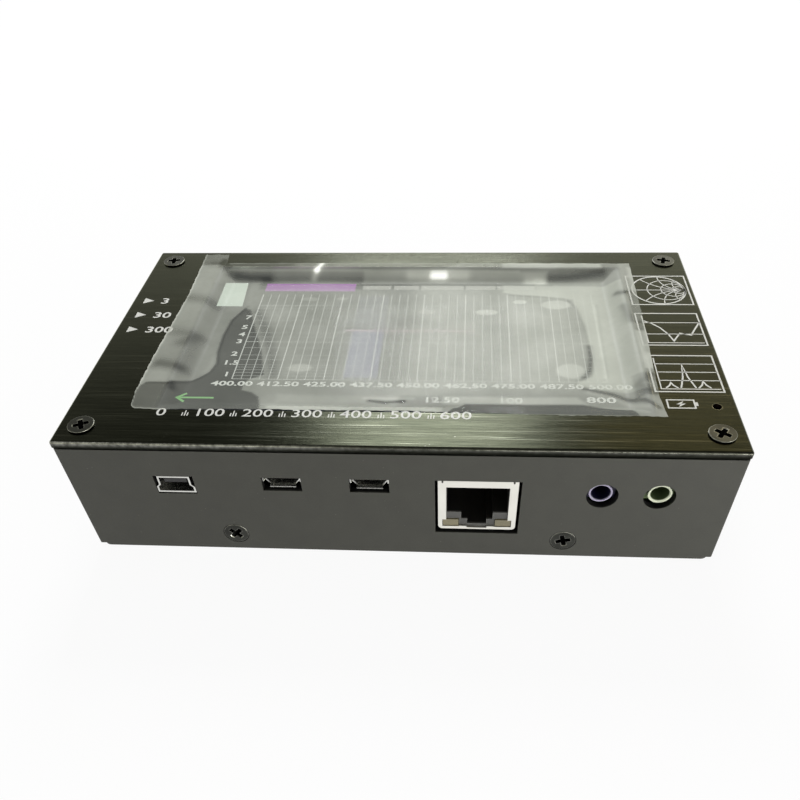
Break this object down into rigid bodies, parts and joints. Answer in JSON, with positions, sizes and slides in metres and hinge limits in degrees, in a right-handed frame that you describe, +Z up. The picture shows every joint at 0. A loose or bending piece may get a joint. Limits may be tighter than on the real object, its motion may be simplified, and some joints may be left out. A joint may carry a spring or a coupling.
{
  "type": "antenna analyzer",
  "caption": "Flat metal-cased antenna analyzer with a touch display under a brushed black panel, data and audio sockets along the front edge and a threaded antenna socket.",
  "frame": {"origin": "centre of the case's footprint on the resting plane", "axes": "+X right along the socket edge, +Y from the socket edge to the back, +Z up out of the display"},
  "size_m": [0.1424, 0.076, 0.0303],
  "materials": {
    "panel": "brushed black anodised",
    "case_coat": "matt black coating",
    "cover_coat": "matt black coating",
    "black_screw": "blackened steel",
    "film": "clear film, milky where it lifts",
    "seal_foam": "black foam",
    "touch_cover": "gloss",
    "display_tray": "stamped sheet",
    "display_face": "lit display face",
    "adhesive_pad": "double-sided foam tape",
    "blue_board": "blue solder mask",
    "green_board": "green solder mask",
    "chip_plastic": "moulded, dull",
    "plain_steel": "zinc plated",
    "spacer_brass": "turned",
    "bright_shell": "bright nickel sheet",
    "black_insert": "moulded",
    "shield_sheet": "bright tinned sheet",
    "network_plastic": "dark grey moulded",
    "gold_contact": "gold plated",
    "lamp_window": "cloudy resin",
    "blue_socket": "moulded",
    "green_socket": "moulded",
    "card_plastic": "moulded",
    "button_metal": "stamped",
    "blue_button": "moulded",
    "black_button": "moulded",
    "antenna_gold": "gold plated",
    "antenna_white": "fluoropolymer",
    "battery_foil": "foil pouch",
    "charge_lens": "tinted clear",
    "lead_wire": "tinned",
    "switch_plastic": "moulded, fine grain",
    "rocker_plastic": "moulded, satin",
    "red_insulation": "soft vinyl",
    "black_insulation": "soft vinyl"
  },
  "bodies": {
    "case": {"top_panel": "panel", "case_body": "case_coat", "bottom_cover": "cover_coat", "top_screws": "black_screw", "front_screws": "black_screw", "back_screws": "black_screw", "screen_film": "film", "screen_seal": "seal_foam", "touch_glass": "touch_cover", "display_frame": "display_tray", "display_glass": "display_face", "display_pad": "adhesive_pad", "main_board": "blue_board", "board_chips": "chip_plastic", "panel_studs": "plain_steel", "panel_spacers": "spacer_brass", "board_nuts": "plain_steel", "mini_usb_shell": "bright_shell", "mini_usb_insert": "black_insert", "left_usb_shell": "bright_shell", "left_usb_insert": "black_insert", "right_usb_shell": "bright_shell", "right_usb_insert": "black_insert", "network_shield": "shield_sheet", "network_insert": "network_plastic", "network_contacts": "gold_contact", "network_lamps": "lamp_window", "line_in_socket": "blue_socket", "line_out_socket": "green_socket", "card_socket": "plain_steel", "memory_card": "card_plastic", "button_bases": "button_metal", "header_sockets": "black_insert", "header_bases": "black_insert", "header_pins": "gold_contact", "measuring_board": "green_board", "measuring_chips": "chip_plastic", "screening_can": "shield_sheet", "antenna_socket": "antenna_gold", "antenna_insulator": "antenna_white", "antenna_contact": "gold_contact", "antenna_washer": "antenna_gold", "antenna_nut": "antenna_gold", "battery_pack": "battery_foil", "battery_pad": "adhesive_pad", "charge_board": "green_board", "charge_pad": "adhesive_pad", "charge_chips": "chip_plastic", "charge_usb_shell": "bright_shell", "charge_usb_insert": "black_insert", "charge_lamp": "charge_lens", "lamp_leads": "lead_wire", "switch_housing": "switch_plastic", "switch_terminals": "gold_contact", "red_wires": "red_insulation", "black_wires": "black_insulation"},
    "rocker": {"switch_rocker": "rocker_plastic"},
    "user_key": {"user_button": "blue_button"},
    "reset_key": {"reset_button": "black_button"}
  },
  "joints": [
    {"name": "power_rocker_turn", "type": "hinge", "parent": "case", "child": "rocker", "pos_m": [0.0647, 0.008, 0.0147], "axis": [0, 0, 1], "range_deg": [0, 20]},
    {"name": "user_button_press", "type": "slide", "parent": "case", "child": "user_key", "axis": [0, 0, 1], "range_m": [0, 0.00025], "stiffness_N_per_m": 200, "springref_m": -0.0005},
    {"name": "reset_button_press", "type": "slide", "parent": "case", "child": "reset_key", "axis": [0, 0, 1], "range_m": [0, 0.00025], "stiffness_N_per_m": 200, "springref_m": -0.0005}
  ]
}
